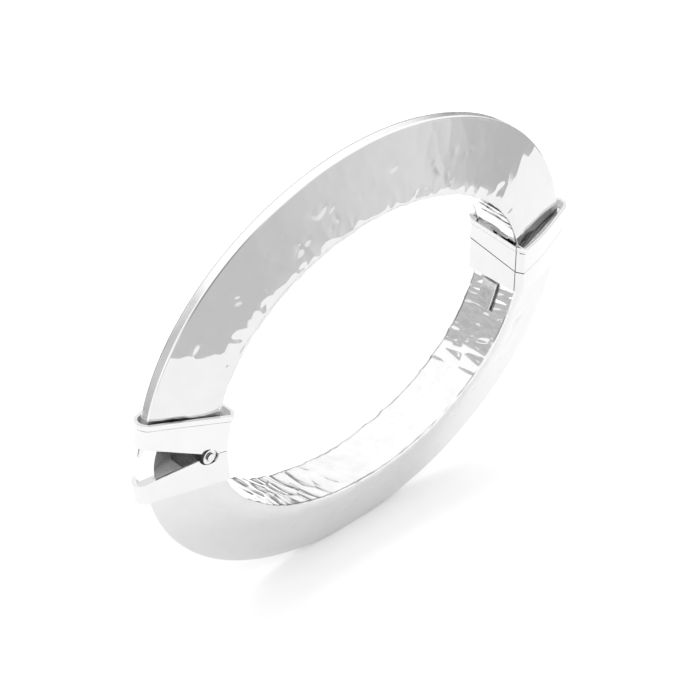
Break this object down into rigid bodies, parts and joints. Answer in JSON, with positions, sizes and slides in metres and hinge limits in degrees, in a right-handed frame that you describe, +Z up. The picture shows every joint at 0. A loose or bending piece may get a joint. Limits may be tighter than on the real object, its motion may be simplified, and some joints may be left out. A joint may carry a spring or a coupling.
{
  "type": "bangle bracelet",
  "caption": "Hinged oval bangle bracelet, hollow and hammered, with plain polished collars at its hinge and at its box clasp.",
  "frame": {"origin": "centre of the oval wrist opening, halfway across the band's width", "axes": "+X from the hinge to the clasp, +Y along the wrist away from the near side, +Z up with the bangle standing on its rim"},
  "size_m": [0.0858, 0.012, 0.0688],
  "materials": {
    "hammered_side": "hammered and polished sterling silver",
    "hammered_inner": "strongly hammered polished sterling silver",
    "bright_rim": "bright polished sterling silver",
    "polished_collar": "smooth bright polished sterling silver",
    "hinge_pin": "polished silver, riveted head",
    "knuckle": "polished silver, darkened where it meets the pin",
    "guard": "polished silver",
    "tongue": "work-hardened silver, satin",
    "hallmark_plate": "satin silver",
    "inner_plate": "as-rolled silver, dull"
  },
  "bodies": {
    "lower_half": {"lower_near_side": "hammered_side", "lower_far_side": "hammered_side", "lower_inner_band": "hammered_inner", "lower_rim_strip": "bright_rim", "lower_hinge_cap": "inner_plate", "lower_clasp_cap": "inner_plate", "lower_hinge_collar": "polished_collar", "lower_clasp_collar": "polished_collar", "hinge_knuckle_middle": "knuckle", "hinge_guard": "guard", "catch_plate": "inner_plate", "hallmark_plate": "hallmark_plate"},
    "upper_half": {"upper_near_side": "hammered_side", "upper_far_side": "hammered_side", "upper_inner_band": "hammered_inner", "upper_rim_strip": "bright_rim", "upper_hinge_cap": "inner_plate", "upper_clasp_cap": "inner_plate", "upper_hinge_collar": "polished_collar", "upper_clasp_collar": "polished_collar", "hinge_knuckle_near": "knuckle", "hinge_knuckle_far": "knuckle", "hinge_pin": "hinge_pin", "clasp_face_plate": "inner_plate", "clasp_tongue": "tongue", "tongue_spring": "tongue"}
  },
  "joints": [
    {"name": "hinge", "type": "hinge", "parent": "lower_half", "child": "upper_half", "pos_m": [-0.0319, 0, -0.00185], "axis": [0, -1, 0], "range_deg": [0, 34]}
  ]
}
